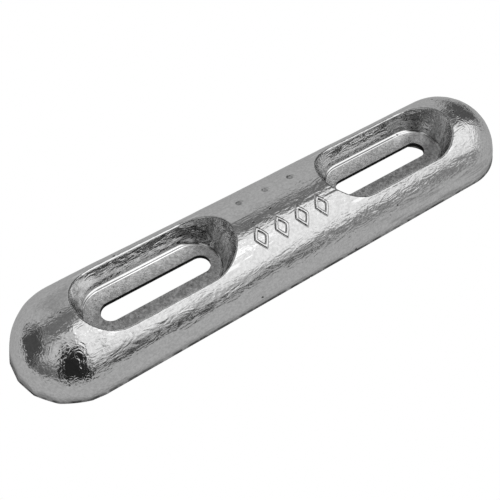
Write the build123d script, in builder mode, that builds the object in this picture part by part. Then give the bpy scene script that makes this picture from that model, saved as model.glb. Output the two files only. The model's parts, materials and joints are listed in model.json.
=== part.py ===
from build123d import *
import math
import os

# Bolt-on bar hull anode: a zinc bar cast round a slotted steel fixing strap.
# Frame: origin at the middle of the flat back, X along the bar, +Z out of the back.
# The two halves of the bar are mirror images, so one half is drawn and then mirrored.

# ---- zinc bar ----
bar_length = 300.0
bar_width = 65.0
bar_height = 30.0
skirt_height = 3.0  # straight drafted band between the back and the dome
skirt_draft = 10.0  # degrees from upright
back_edge_radius = 0.5

# ---- bolt slots through the strap, one each side of the middle ----
slot_spacing = 144.0  # centre to centre
slot_width = 11.0  # clearance for an M10 bolt
slot_length = 61.0  # end to end

# ---- steel strap ----
strap_length = 250.0
strap_width = 36.0
strap_thickness = 2.5
strap_top_height = 10.5  # upper face, above the back
strap_corner_radius = 3.0

# ---- pockets in the top, over the slots ----
pocket_side_margin = 8.1  # bare strap beside the slot
pocket_outer_margin = 8.3
pocket_inner_margin = 4.7
pocket_lip_edge = 0.2  # height of the lip's bevelled edge, where the zinc laps on the strap
pocket_lip_edge_side = 0.35  # how far the bevel leans out, beside the slot and past its ends
pocket_lip_edge_end = 0.3
pocket_ledge_height = 0.28  # top of the nearly level ledge behind the bevel
pocket_ledge_side = 1.15
pocket_ledge_end = 0.45
pocket_lip_height = 0.75  # top of the slope that leads from the ledge to the wall
pocket_lip_side = 1.9
pocket_lip_end = 0.9
pocket_side_draft = 14.0  # degrees from upright
pocket_outer_draft = 5.5
pocket_inner_draft = 21.5
pocket_rim_radius = 1.5

# ---- recesses in the back, under the slots ----
recess_margin = 5.5  # bare strap all round the slot
recess_draft = 6.0  # degrees from upright
recess_edge_radius = 0.8

# ---- raised lozenge rings on one flank, and punch marks on the crown ----
lozenge_pitch = 12.4
lozenge_width = 8.4
lozenge_height = 14.0
lozenge_opening = 0.45  # of the lozenge's size
lozenge_relief = 0.6
lozenge_tilt = -23.5  # degrees round the bar from the crown, towards -y
punch_pitch = 16.0
punch_radius = 3.2  # of the ball that makes the mark
punch_depth = 0.9
punch_tilt = 20.5  # degrees round the bar from the crown, towards +y

# ---- what follows from these ----
end_radius = bar_width / 2
end_centre_x = bar_length / 2 - end_radius
slot_centre_x = slot_spacing / 2
strap_bottom_height = strap_top_height - strap_thickness

# The dome's arc is level at the crown and ends at the top of the skirt.
dome_half_width = end_radius - skirt_height * math.tan(math.radians(skirt_draft))
dome_rise = bar_height - skirt_height
dome_radius = (dome_half_width**2 + dome_rise**2) / (2 * dome_rise)
dome_axis_height = bar_height - dome_radius

# The wall of a pocket is drawn from its foot, at the top of the lip, to a height clear above
# the crown.
wall_foot_height = strap_top_height + pocket_lip_height
wall_top_height = bar_height + pocket_rim_radius
wall_rise = wall_top_height - wall_foot_height
side_spread = wall_rise * math.tan(math.radians(pocket_side_draft))
outer_spread = wall_rise * math.tan(math.radians(pocket_outer_draft))
inner_spread = wall_rise * math.tan(math.radians(pocket_inner_draft))
floor_width = slot_width + 2 * pocket_side_margin
floor_length = slot_length + pocket_outer_margin + pocket_inner_margin
floor_centre_x = slot_centre_x + (pocket_outer_margin - pocket_inner_margin) / 2
lip_bends = (
    (pocket_lip_edge, pocket_lip_edge_side, pocket_lip_edge_end),
    (pocket_ledge_height, pocket_ledge_side, pocket_ledge_end),
    (pocket_lip_height, pocket_lip_side, pocket_lip_end),
)
foot_width = floor_width + 2 * pocket_lip_side
foot_length = floor_length + 2 * pocket_lip_end
mouth_width = foot_width + 2 * side_spread
mouth_length = foot_length + outer_spread + inner_spread
mouth_centre_x = floor_centre_x + (outer_spread - inner_spread) / 2


def dome_plane(tilt, lift=0.0):
    """Plane that touches the dome over the bar's middle, tilted round the bar from the crown."""
    angle = math.radians(tilt)
    outward = Vector(0, math.sin(angle), math.cos(angle))
    return Plane(
        origin=Vector(0, 0, dome_axis_height) + outward * (dome_radius + lift),
        x_dir=(1, 0, 0),
        z_dir=outward,
    )


# Half of the bar's section: x from the middle plane to the flank, y up from the back.
with BuildSketch() as half_section:
    with BuildLine():
        Polyline((0, bar_height), (0, 0), (end_radius, 0), (dome_half_width, skirt_height))
        TangentArc((0, bar_height), (dome_half_width, skirt_height), tangent=(1, 0))
    make_face()

# The raised marks of one half: lozenge rings cut off level with a slightly larger dome.
with BuildPart() as lozenges:
    with BuildSketch(dome_plane(lozenge_tilt)):
        with Locations((lozenge_pitch / 2, 0), (1.5 * lozenge_pitch, 0)):
            for share, mode in ((1, Mode.ADD), (lozenge_opening, Mode.SUBTRACT)):
                Polygon(
                    (share * lozenge_width / 2, 0),
                    (0, share * lozenge_height / 2),
                    (-share * lozenge_width / 2, 0),
                    (0, -share * lozenge_height / 2),
                    mode=mode,
                )
    extrude(amount=lozenge_height / 4, both=True)
    with BuildSketch(Plane.YZ):
        with Locations((0, dome_axis_height)):
            Circle(dome_radius + lozenge_relief)
    extrude(amount=end_centre_x, mode=Mode.INTERSECT)

with BuildPart() as anode_casting:
    # The straight stretch, and the section turned through a half circle as the domed end.
    with BuildSketch(Plane.YZ):
        add(half_section.sketch)
        mirror(about=Plane.YZ)
    extrude(amount=end_centre_x)
    with BuildSketch(Plane.YZ.offset(end_centre_x)):
        add(half_section.sketch)
    revolve(axis=Axis((end_centre_x, 0, 0), (0, 0, -1)), revolution_arc=180)
    back_outline = faces().sort_by(Axis.Z)[0].edges()
    fillet(back_outline - back_outline.group_by(Axis.X)[0], back_edge_radius)

    # The marks.
    add(lozenges.part)
    with Locations(dome_plane(punch_tilt, lift=punch_radius - punch_depth)):
        with Locations((0, 0, 0), (punch_pitch, 0, 0)):
            Sphere(punch_radius, mode=Mode.SUBTRACT)

    # The pocket: its stepped lip and its drafted wall, rounded at the rim.
    with BuildSketch(Plane.XY.offset(strap_top_height)):
        with Locations((floor_centre_x, 0)):
            SlotOverall(floor_length, floor_width)
    for height, side, end in lip_bends:
        with BuildSketch(Plane.XY.offset(strap_top_height + height)):
            with Locations((floor_centre_x, 0)):
                SlotOverall(floor_length + 2 * end, floor_width + 2 * side)
    with BuildSketch(Plane.XY.offset(wall_top_height)):
        with Locations((mouth_centre_x, 0)):
            SlotOverall(mouth_length, mouth_width)
    loft(ruled=True, mode=Mode.SUBTRACT)
    above_lip = wall_foot_height + pocket_rim_radius
    pocket_rim = edges(Select.LAST).filter_by(
        lambda edge: min(end.Z for end in edge.vertices()) > above_lip
    )
    fillet(pocket_rim, pocket_rim_radius)

    # The bed that the strap fills.
    with BuildSketch(Plane.XY.offset(strap_bottom_height)):
        RectangleRounded(strap_length, strap_width, strap_corner_radius)
    extrude(amount=strap_thickness, mode=Mode.SUBTRACT)

    # The recess under the slot, wider towards the back.
    with BuildSketch(Plane.XY.offset(strap_bottom_height)):
        with Locations((slot_centre_x, 0)):
            SlotOverall(slot_length + 2 * recess_margin, slot_width + 2 * recess_margin)
    extrude(amount=-strap_bottom_height, taper=-recess_draft, mode=Mode.SUBTRACT)
    recess_mouth = edges(Select.LAST).group_by(Axis.Z)[0]
    fillet(recess_mouth, recess_edge_radius)

    mirror(about=Plane.YZ)
anode_casting.part.label = "anode_casting"

with BuildPart() as steel_strap:
    with BuildSketch(Plane.XY.offset(strap_bottom_height)):
        RectangleRounded(strap_length, strap_width, strap_corner_radius)
        with Locations((-slot_centre_x, 0), (slot_centre_x, 0)):
            SlotOverall(slot_length, slot_width, mode=Mode.SUBTRACT)
    extrude(amount=strap_thickness)
steel_strap.part.label = "steel_strap"

os.makedirs("parts", exist_ok=True)
export_step(anode_casting.part, "parts/anode_casting.step")
export_step(steel_strap.part, "parts/steel_strap.step")
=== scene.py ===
"""Bolt-on bar hull anode, dressed for rendering: a rippled zinc casting on a galvanised strap.

Lengths of the object are in millimetres in the row's frame: origin at the middle of the flat
back, X along the bar, +Z out of the back. They become metres only where a mesh is made.
"""

from __future__ import annotations

import json
import logging
import math
from abc import ABC, abstractmethod
from dataclasses import dataclass, field
from enum import Enum

import bmesh
import bpy
import numpy as np
from mathutils import Matrix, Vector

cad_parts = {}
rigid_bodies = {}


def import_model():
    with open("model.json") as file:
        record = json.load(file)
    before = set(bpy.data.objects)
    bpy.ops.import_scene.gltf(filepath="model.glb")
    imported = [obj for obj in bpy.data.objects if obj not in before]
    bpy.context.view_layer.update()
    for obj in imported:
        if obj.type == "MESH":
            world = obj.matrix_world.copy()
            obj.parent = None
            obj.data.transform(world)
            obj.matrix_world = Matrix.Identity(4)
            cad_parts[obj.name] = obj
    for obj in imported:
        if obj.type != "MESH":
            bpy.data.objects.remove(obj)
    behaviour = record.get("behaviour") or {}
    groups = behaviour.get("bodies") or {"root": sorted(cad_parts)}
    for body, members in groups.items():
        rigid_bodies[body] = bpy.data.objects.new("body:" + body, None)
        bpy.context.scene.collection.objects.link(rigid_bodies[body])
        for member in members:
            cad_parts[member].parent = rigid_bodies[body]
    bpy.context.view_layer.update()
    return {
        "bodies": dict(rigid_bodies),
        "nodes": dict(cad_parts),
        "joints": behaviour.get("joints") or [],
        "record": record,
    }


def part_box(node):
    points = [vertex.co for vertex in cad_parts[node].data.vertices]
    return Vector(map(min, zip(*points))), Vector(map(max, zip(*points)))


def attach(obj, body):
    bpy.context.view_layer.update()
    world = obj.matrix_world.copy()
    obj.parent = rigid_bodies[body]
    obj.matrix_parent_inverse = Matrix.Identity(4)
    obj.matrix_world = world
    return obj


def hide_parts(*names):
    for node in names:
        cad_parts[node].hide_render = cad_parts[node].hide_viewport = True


LOG = logging.getLogger("hull_anode")
MM = 0.001
TINY = 1e-9
WELD_DISTANCE = 0.001
SHARP_TURN = math.radians(42.0)
LATTICE_SHIFT = 17.31
LATTICE_PRIMES = (73856093, 19349663, 83492791)
SEED_PRIME = 2654435761
HASH_PRIME = 1274126177
WORD = 0xFFFFFFFF
VECTOR = "NodeSocketVector"
FLOAT = "NodeSocketFloat"

Socket = bpy.types.NodeSocket
Colour = tuple[float, float, float, float]
Span = tuple[float, float]


class Slot(Enum):
    """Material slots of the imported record."""

    CAST_ZINC = "cast_zinc"
    GALVANISED_STEEL = "galvanised_steel"


class Node(Enum):
    """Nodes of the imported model."""

    CASTING = "anode_casting"
    STRAP = "steel_strap"


# ---------------------------------------------------------------- noise and mesh helpers


def smooth_noise(points: np.ndarray, wavelength: float, seed: int) -> np.ndarray:
    """Value noise in space: random heights at the corners of a cubic lattice, blended inside
    each cube by the quintic 6t^5 - 15t^4 + 10t^3 along each axis.

    Args:
        points: array of shape (..., 3), in millimetres.
        wavelength: side of a lattice cube, in millimetres.
        seed: picks the set of random heights.

    Returns:
        Heights between -1 and 1, of shape (...).
    """
    place = points / wavelength + LATTICE_SHIFT * (seed + 1)
    cell = np.floor(place)
    part = place - cell
    ease = part * part * part * (part * (part * 6 - 15) + 10)
    cell = cell.astype(np.int64)
    total = np.zeros(points.shape[:-1])
    for corner in np.ndindex(2, 2, 2):
        site = (cell + corner) * LATTICE_PRIMES
        mix = site[..., 0] ^ site[..., 1] ^ site[..., 2]
        mix = (mix ^ (mix >> 13) ^ seed * SEED_PRIME) & WORD
        mix = (mix * HASH_PRIME) & WORD
        mix = (mix ^ (mix >> 16)) & WORD
        weight = np.prod(np.where(np.array(corner) == 1, ease, 1 - ease), axis=-1)
        total += weight * (mix / (WORD // 2) - 1.0)
    return total


def grid_faces(rows: int, columns: int) -> np.ndarray:
    """Quads between neighbouring points of a grid of closed rings, stored ring by ring.

    Args:
        rows: number of rings.
        columns: number of points in a ring.

    Returns:
        Array of shape (n, 4) of point numbers.
    """
    start = np.arange(rows - 1)[:, None] * columns
    here = start + np.arange(columns)
    right = start + (np.arange(columns) + 1) % columns
    return np.stack([here, right, right + columns, here + columns], -1).reshape(-1, 4)


def make_piece(name: str, points: np.ndarray, faces: np.ndarray) -> bpy.types.Object:
    """Smooth-shaded piece at the origin. Points that coincide become one, faces point
    outwards, and edges that turn more than SHARP_TURN stay sharp.

    Args:
        name: name of the object and its mesh.
        points: array of shape (n, 3), in millimetres.
        faces: array of shape (m, 4) of point numbers.

    Returns:
        The new object, linked to the scene.
    """
    mesh = bpy.data.meshes.new(name)
    mesh.from_pydata((points * MM).tolist(), [], faces.tolist())
    form = bmesh.new()
    form.from_mesh(mesh)
    bmesh.ops.remove_doubles(form, verts=form.verts, dist=WELD_DISTANCE * MM)
    bmesh.ops.recalc_face_normals(form, faces=form.faces)
    form.to_mesh(mesh)
    form.free()
    mesh.polygons.foreach_set("use_smooth", np.ones(len(mesh.polygons), bool))
    mesh.set_sharp_from_angle(angle=SHARP_TURN)
    piece = bpy.data.objects.new(name, mesh)
    bpy.context.scene.collection.objects.link(piece)
    return piece


def smooth_step(value: np.ndarray, low: float, high: float) -> np.ndarray:
    """0 up to low, 1 from high, and 3t^2 - 2t^3 between them."""
    part = np.clip((value - low) / (high - low), 0.0, 1.0)
    return part * part * (3 - 2 * part)


def unit(vectors: np.ndarray) -> np.ndarray:
    """Vectors of length one that point the same way."""
    return vectors / np.maximum(np.linalg.norm(vectors, axis=-1, keepdims=True), TINY)


def spaced(low: float, high: float, steps: int) -> np.ndarray:
    """Evenly spaced values that start at low and leave out high."""
    return np.linspace(low, high, steps, endpoint=False)


def rows_to(start: np.ndarray, end: np.ndarray, steps: int) -> list[np.ndarray]:
    """Rows that divide the straight lines from start to end evenly, without the start."""
    return [start + part * (end - start) for part in np.linspace(0, 1, steps + 1)[1:]]


def round_corner(
    before: np.ndarray, corner: np.ndarray, after: np.ndarray, radius: float, steps: int
) -> list[np.ndarray]:
    """Rounds the corner of a path that comes along one direction and leaves along another.
    The arc is the rational quadratic ((1-t)^2 A + 2t(1-t) w C + t^2 B) / ((1-t)^2 + 2t(1-t) w
    + t^2), where C is the corner, w the cosine of half the turn, and A and B lie on the two
    directions, at the radius times the tangent of half the turn from C.

    Args:
        before: unit directions of arrival, shape (n, 3).
        corner: the sharp corners, shape (n, 3).
        after: unit directions of leaving, shape (n, 3).
        radius: radius of the arc, in millimetres.
        steps: number of steps along the arc.

    Returns:
        steps + 1 arrays of shape (n, 3), the arc's ends included.
    """
    turn = np.arccos(np.clip((before * after).sum(axis=1), -1, 1))
    setback = (radius * np.tan(turn / 2))[:, None]
    start = corner - setback * before
    end = corner + setback * after
    pull = np.cos(turn / 2)[:, None]
    rows = []
    for t in np.linspace(0, 1, steps + 1):
        middle = 2 * t * (1 - t) * pull
        total = (1 - t) ** 2 + middle + t * t
        rows.append(((1 - t) ** 2 * start + middle * corner + t * t * end) / total)
    return rows


# ---------------------------------------------------------------- forms of the casting


@dataclass(frozen=True)
class BarForm:
    """Outside of the bar: a stadium plan, and a section of drafted skirt and round dome. The
    spine is the stadium's: the straight line between the centres of its two ends."""

    length: float = 300.0
    width: float = 65.0
    height: float = 30.0
    skirt_height: float = 3.0
    skirt_draft: float = math.radians(10.0)
    back_edge_radius: float = 0.5
    dome_steps: int = 400
    edge_steps: int = 8

    @property
    def end_radius(self) -> float:
        """Radius of the plan's round ends, before the back's edge is rounded."""
        return self.width / 2

    @property
    def end_centre(self) -> float:
        """Distance of each end's centre from the middle of the bar."""
        return self.length / 2 - self.end_radius

    @property
    def dome_half_width(self) -> float:
        """Half the width at the top of the skirt."""
        return self.end_radius - self.skirt_height * math.tan(self.skirt_draft)

    @property
    def dome_radius(self) -> float:
        """Radius of the arc that is level at the crown and ends at the top of the skirt."""
        rise = self.height - self.skirt_height
        return (self.dome_half_width**2 + rise**2) / (2 * rise)

    @property
    def dome_axis(self) -> float:
        """Height of the dome's axis, which lies a little below the back."""
        return self.height - self.dome_radius

    def profile(self) -> tuple[np.ndarray, np.ndarray, np.ndarray]:
        """Section from the crown to the back: the dome's arc, the skirt, and the rounded edge.

        Returns:
            The distance along the section, the distance from the middle plane and the height,
            at points close enough together to read between.
        """
        last = math.atan2(self.dome_half_width, self.skirt_height - self.dome_axis)
        angle = np.linspace(0, last, self.dome_steps)
        down_skirt = np.array([[math.sin(self.skirt_draft), 0, -math.cos(self.skirt_draft)]])
        corner = np.array([[self.end_radius, 0, 0]])
        inwards = np.array([[-1.0, 0, 0]])
        edge = round_corner(down_skirt, corner, inwards, self.back_edge_radius, self.edge_steps)
        edge = np.concatenate(edge)
        out = np.concatenate([self.dome_radius * np.sin(angle), edge[:, 0]])
        up = np.concatenate([self.dome_axis + self.dome_radius * np.cos(angle), edge[:, 2]])
        run = np.concatenate([[0.0], np.cumsum(np.hypot(np.diff(out), np.diff(up)))])
        return run, out, up

    def from_spine(self, points: np.ndarray) -> tuple[np.ndarray, np.ndarray, np.ndarray]:
        """Splits places of the plan into a point of the spine and the way from there.

        Args:
            points: places, shape (..., 2) or more.

        Returns:
            The X of the spine's nearest point, the level vector from there, shape (..., 2),
            and that vector's length.
        """
        spine = np.clip(points[..., 0], -self.end_centre, self.end_centre)
        away = np.stack([points[..., 0] - spine, points[..., 1]], -1)
        return spine, away, np.linalg.norm(away, axis=-1)

    def place(self, flat: np.ndarray) -> np.ndarray:
        """Wraps points of the unrolled skin onto the bar. The unrolled skin is a stadium about
        the spine: a point's nearest point of the spine and its direction stay, and its
        distance is measured along the section instead of straight out.

        Args:
            flat: unrolled points, shape (..., 2).

        Returns:
            Points of the bar's outside, shape (..., 3).
        """
        run, out, up = self.profile()
        spine, away, distance = self.from_spine(flat)
        reach = np.interp(distance, run, out)[..., None] * unit(away)
        return np.stack([spine + reach[..., 0], reach[..., 1], np.interp(distance, run, up)], -1)

    def unroll(self, points: np.ndarray) -> np.ndarray:
        """The reverse of place, for points on the dome: with the radius R and the reach r from
        the spine, the unrolled distance is R asin(r / R).

        Args:
            points: points of the dome, shape (..., 3).

        Returns:
            Unrolled points, shape (..., 2).
        """
        spine, away, reach = self.from_spine(points)
        arc = self.dome_radius * np.arcsin(np.clip(reach / self.dome_radius, 0, 1))
        away = arc[..., None] * unit(away)
        return np.stack([spine + away[..., 0], away[..., 1]], -1)

    def dome_height(self, points: np.ndarray) -> np.ndarray:
        """Height of the dome over points of the plan."""
        reach = self.from_spine(points)[2]
        return self.dome_axis + np.sqrt(np.clip(self.dome_radius**2 - reach**2, 0, None))


@dataclass(frozen=True)
class Stadium:
    """A level stadium outline: its centre on the X axis, its height, its length and width."""

    centre: float
    height: float
    length: float
    width: float

    @property
    def half_spine(self) -> float:
        """Half the straight length."""
        return (self.length - self.width) / 2

    def outline(self, along: np.ndarray, angle: np.ndarray) -> np.ndarray:
        """Points of the outline, each half the width away from the spine.

        Args:
            along: each point's start on the spine, from -1 to 1.
            angle: each point's direction from there.

        Returns:
            Array of shape (n, 3).
        """
        x = self.centre + along * self.half_spine + self.width / 2 * np.cos(angle)
        y = self.width / 2 * np.sin(angle)
        return np.stack([x, y, np.full_like(x, self.height)], -1)


@dataclass(frozen=True)
class SlotForm:
    """Slot through the strap, and the strap's two faces: what pocket and recess stand round."""

    centre: float = 72.0
    length: float = 61.0
    width: float = 11.0
    strap_bottom: float = 8.0
    strap_top: float = 10.5


@dataclass(frozen=True)
class PocketForm:
    """Pocket over a slot: a thin lip that steps down onto the strap, a drafted wall and a
    rounded rim. Each bend of the lip stands at a height above the strap, and so far out from
    the bare strap beside the slot and past its ends."""

    slot: SlotForm
    crown: float
    side_margin: float = 8.1
    outer_margin: float = 8.3
    inner_margin: float = 4.7
    lip_bends: tuple[tuple[float, float, float], ...] = (
        (0.2, 0.35, 0.3),
        (0.28, 1.15, 0.45),
        (0.75, 1.9, 0.9),
    )
    lip_radius: float = 0.15
    side_draft: float = math.radians(14.0)
    outer_draft: float = math.radians(5.5)
    inner_draft: float = math.radians(21.5)
    rim_radius: float = 1.5

    @property
    def floor(self) -> Stadium:
        """Outline of the bare strap inside the lip.

        Returns:
            The outline, at the height of the strap's upper face.
        """
        centre = self.slot.centre + (self.outer_margin - self.inner_margin) / 2
        length = self.slot.length + self.outer_margin + self.inner_margin
        return Stadium(centre, self.slot.strap_top, length, self.slot.width + 2 * self.side_margin)

    @property
    def lip(self) -> list[Stadium]:
        """Outlines of the lip's bends.

        Returns:
            One outline for each bend, from the strap up.
        """
        floor = self.floor
        return [
            Stadium(floor.centre, floor.height + rise, floor.length + 2 * end, floor.width + 2 * side)
            for rise, side, end in self.lip_bends
        ]

    @property
    def foot(self) -> Stadium:
        """Outline where the wall meets the top of the lip."""
        return self.lip[-1]

    @property
    def mouth(self) -> Stadium:
        """Outline of the wall at a rim radius above the crown: over the rise h, each draft a
        leans out by h tan(a).

        Returns:
            The outline, at that height.
        """
        foot = self.foot
        rise = self.crown + self.rim_radius - foot.height
        side = rise * math.tan(self.side_draft)
        outer = rise * math.tan(self.outer_draft)
        inner = rise * math.tan(self.inner_draft)
        centre = foot.centre + (outer - inner) / 2
        return Stadium(centre, foot.height + rise, foot.length + outer + inner, foot.width + 2 * side)


@dataclass(frozen=True)
class RecessForm:
    """Recess in the back, under a slot, wider towards the back."""

    slot: SlotForm
    margin: float = 5.5
    draft: float = math.radians(6.0)
    edge_radius: float = 0.8

    def outline_at(self, height: float) -> Stadium:
        """Outline of the wall at a height above the back."""
        spread = 2 * ((self.slot.strap_bottom - height) * math.tan(self.draft) + self.margin)
        return Stadium(self.slot.centre, height, self.slot.length + spread, self.slot.width + spread)


@dataclass(frozen=True)
class Ripple:
    """Casting ripple: a sum of smooth noises n, each with its own wavelength and depth. A
    wave lies (1 + n) / 2 of its depth below the true form, and a crease 1 - |n|, so that its
    grooves are sharp. Along the straight stretch both are longer than they are across it."""

    waves: tuple[Span, ...] = ((26.0, 0.30), (12.0, 0.20), (6.0, 0.12), (3.2, 0.06))
    creases: tuple[Span, ...] = ((11.0, 0.12), (5.5, 0.07))
    straight: float = 117.5
    along: float = 2.4
    wave_seed: int = 11
    crease_seed: int = 21

    def depth(self, points: np.ndarray) -> np.ndarray:
        """How far the skin lies below its true form.

        Args:
            points: places on the true form, shape (..., 3).

        Returns:
            Depths in millimetres, never under nought, of shape (...).
        """
        total = np.zeros(points.shape[:-1])
        straight = np.clip(points[..., 0], -self.straight, self.straight)
        places = points.copy()
        places[..., 0] += straight * (1 / self.along - 1)
        for number, (wavelength, depth) in enumerate(self.waves):
            total += depth * (1 + smooth_noise(places, wavelength, self.wave_seed + number)) / 2
        for number, (wavelength, depth) in enumerate(self.creases):
            total += depth * (1 - np.abs(smooth_noise(places, wavelength, self.crease_seed + number)))
        return total


@dataclass(frozen=True)
class FootFlats:
    """Flats at the foot of the left end, where the mould was cut along straight lines. One
    flat after another covers the angle, a little wider or narrower by the sway."""

    angle: float = math.radians(23.0)
    shift: float = 0.35
    sway: float = 0.22
    sway_rate: float = 2.3
    depth: float = 0.42
    fade_height: Span = (1.0, 9.0)
    fade_behind: Span = (0.0, 6.0)

    def depth_at(self, points: np.ndarray, bar: BarForm) -> np.ndarray:
        """How far each point is pulled in. With t from 0 to 1 across a flat, it is the depth
        times 1 - (2t - 1)^2, less and less towards the top and the straight stretch.

        Args:
            points: places on the bar, shape (n, 3).
            bar: the form that the flats are cut into.

        Returns:
            Depths in millimetres.
        """
        behind = np.clip(-bar.end_centre - points[:, 0], 0, None)
        bearing = np.arctan2(points[:, 1], behind + TINY)
        share = bearing / self.angle + self.shift + self.sway * np.sin(self.sway_rate * bearing)
        arch = 1 - (2 * (share - np.floor(share)) - 1) ** 2
        low = 1 - smooth_step(points[:, 2], *self.fade_height)
        return self.depth * arch * low * smooth_step(behind, *self.fade_behind)


@dataclass(frozen=True)
class PunchMarks:
    """Marks of a ball punch in a row along the crown."""

    pitch: float = 16.0
    count: int = 3
    ball_radius: float = 3.2
    depth: float = 0.9
    tilt: float = math.radians(20.5)

    def depth_at(self, points: np.ndarray, bar: BarForm) -> np.ndarray:
        """How far each point of the skin is pressed in: with the ball's radius R and the
        distance d from the mark's middle, sqrt(R^2 - d^2) less what stays outside the skin.

        Args:
            points: places on the bar, shape (n, 3).
            bar: the form that is marked.

        Returns:
            Depths in millimetres.
        """
        total = np.zeros(len(points))
        arc = bar.dome_radius * np.arctan2(points[:, 1], points[:, 2] - bar.dome_axis)
        for number in range(self.count):
            x = (number - (self.count - 1) / 2) * self.pitch
            offset = np.hypot(points[:, 0] - x, arc - self.tilt * bar.dome_radius)
            ball = np.sqrt(np.clip(self.ball_radius**2 - offset**2, 0, None))
            total += np.clip(ball - (self.ball_radius - self.depth), 0, None)
        return np.where(points[:, 2] > bar.height / 2, total, 0.0)


# ---------------------------------------------------------------- the zinc casting


@dataclass
class ZincCasting:
    """The zinc bar, one closed skin of rings round each pocket. Half of the bar is worked out
    and mirrored, and its ripple, flats and punch marks are then pressed in all over. A column
    starts on the pocket's spine, at `along` times its half length, and leaves at `angle`. The
    seam is where the columns reach the bar's middle plane."""

    bar: BarForm
    pocket: PocketForm
    recess: RecessForm
    strap_half_length: float
    strap_half_width: float
    ripple: Ripple = field(default_factory=Ripple)
    flats: FootFlats = field(default_factory=FootFlats)
    punches: PunchMarks = field(default_factory=PunchMarks)
    end_steps: int = 132
    side_steps: int = 56
    turn_steps: int = 62
    seam_steps: int = 120
    dome_rows: int = 44
    edge_rows: int = 4
    wall_rows: int = 12
    rim_steps: int = 7
    lip_steps: int = 2
    back_rows: int = 6
    recess_rows: int = 4
    recess_first: float = 2.0
    dome_nudge: float = 0.01
    meeting_guess: float = 0.7
    meeting_rounds: int = 40
    calm_wall: float = 2.5
    calm_foot: Span = (0.1, 1.6)
    flats_reach: Span = (20.0, 26.0)
    skin_reach: float = field(init=False)
    angle: np.ndarray = field(init=False)
    along: np.ndarray = field(init=False)
    outward: np.ndarray = field(init=False)
    seam: slice = field(init=False)

    def __post_init__(self) -> None:
        """Works out where the columns of the skin stand round the pocket."""
        self.skin_reach = float(self.bar.profile()[0][-1])
        mouth = self.pocket.mouth
        quarter = math.pi / 2
        corner = math.pi - math.atan2(self.skin_reach, mouth.centre - mouth.half_spine)
        self.angle = np.concatenate([
            spaced(-quarter, quarter, self.end_steps),
            np.full(self.side_steps, quarter),
            spaced(quarter, corner, self.turn_steps),
            spaced(corner, 2 * math.pi - corner, self.seam_steps),
            spaced(2 * math.pi - corner, 3 * quarter, self.turn_steps),
            np.full(self.side_steps, 3 * quarter),
        ])
        self.along = np.concatenate([
            np.ones(self.end_steps),
            spaced(1, -1, self.side_steps),
            -np.ones(2 * self.turn_steps + self.seam_steps),
            spaced(-1, 1, self.side_steps),
        ])
        first = self.end_steps + self.side_steps + self.turn_steps
        self.seam = slice(first, first + self.seam_steps)
        self.outward = np.stack([np.cos(self.angle), np.sin(self.angle), 0 * self.angle], -1)

    def ring(self, stadium: Stadium) -> np.ndarray:
        """Points of a stadium outline, one for each column."""
        return stadium.outline(self.along, self.angle)

    def ray_reach(self, start: np.ndarray) -> np.ndarray:
        """How far each column's ray goes from the spine, in the unrolled plan, before it leaves
        its half of the skin: to the straight side, else to the round end, or to the bar's
        middle plane if that is nearer.

        Args:
            start: X of each ray's start.

        Returns:
            Distances in millimetres.
        """
        limit = self.skin_reach
        ahead, across, _ = self.outward.T
        side = limit / np.maximum(np.abs(across), TINY)
        offset = start - self.bar.end_centre
        middle = offset * ahead
        end = -middle + np.sqrt(np.clip(middle**2 - offset**2 + limit**2, 0, None))
        reach = np.where(start + side * ahead > self.bar.end_centre, end, side)
        back = np.where(ahead < -TINY, start / np.maximum(-ahead, TINY), np.inf)
        return np.minimum(reach, back)

    def wall_meets_dome(self, foot: np.ndarray, rise: np.ndarray) -> np.ndarray:
        """Points where the pocket's ruled wall runs into the dome. The share of each ruling is
        moved, again and again, by half of the gap in height that is left.

        Args:
            foot: the foot of each ruling, shape (n, 3).
            rise: the way from there to its top, shape (n, 3).

        Returns:
            The meeting points, shape (n, 3).
        """
        share = np.full(len(foot), self.meeting_guess)
        for _ in range(self.meeting_rounds):
            meet = foot + share[:, None] * rise
            share += (self.bar.dome_height(meet) - meet[:, 2]) / (2 * rise[:, 2])
        return foot + share[:, None] * rise

    def outer_rows(self) -> list[np.ndarray]:
        """Rings from the edge of the strap's bed under the lip, up the wall, over the rim and
        across the dome to the back's edge. The wall is ruled between its foot and its mouth,
        and the dome's rows divide straight lines of the unrolled skin.

        Returns:
            The rings, each of shape (n, 3).
        """
        pocket = self.pocket
        bar = self.bar
        foot = self.ring(pocket.foot)
        rise = self.ring(pocket.mouth) - foot
        meet = self.wall_meets_dome(foot, rise)

        start = pocket.mouth.centre + self.along * pocket.mouth.half_spine
        edge = np.stack([start, 0 * start], -1) + self.ray_reach(start)[:, None] * self.outward[:, :2]
        inner = bar.unroll(meet)
        down_dome = unit(edge - inner)
        on_dome = unit(bar.place(inner + self.dome_nudge * down_dome) - bar.place(inner))
        rim = round_corner(unit(rise), meet, on_dome, pocket.rim_radius, self.rim_steps)
        shoulder = edge - down_dome

        path = [self.ring(stadium) for stadium in (pocket.floor, *pocket.lip, pocket.mouth)]
        rows = [self.bed_ring(pocket.slot.strap_top), path[0]]
        for below, bend, above in zip(path, path[1:], path[2:]):
            arrival, leaving = unit(bend - below), unit(above - bend)
            rows += round_corner(arrival, bend, leaving, pocket.lip_radius, self.lip_steps)
        rows += rows_to(rows[-1], rim[0], self.wall_rows)[:-1]
        rows += rim
        flat = rows_to(bar.unroll(rim[-1]), shoulder, self.dome_rows)
        flat += rows_to(shoulder, edge, self.edge_rows)
        return rows + [bar.place(row) for row in flat]

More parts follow.
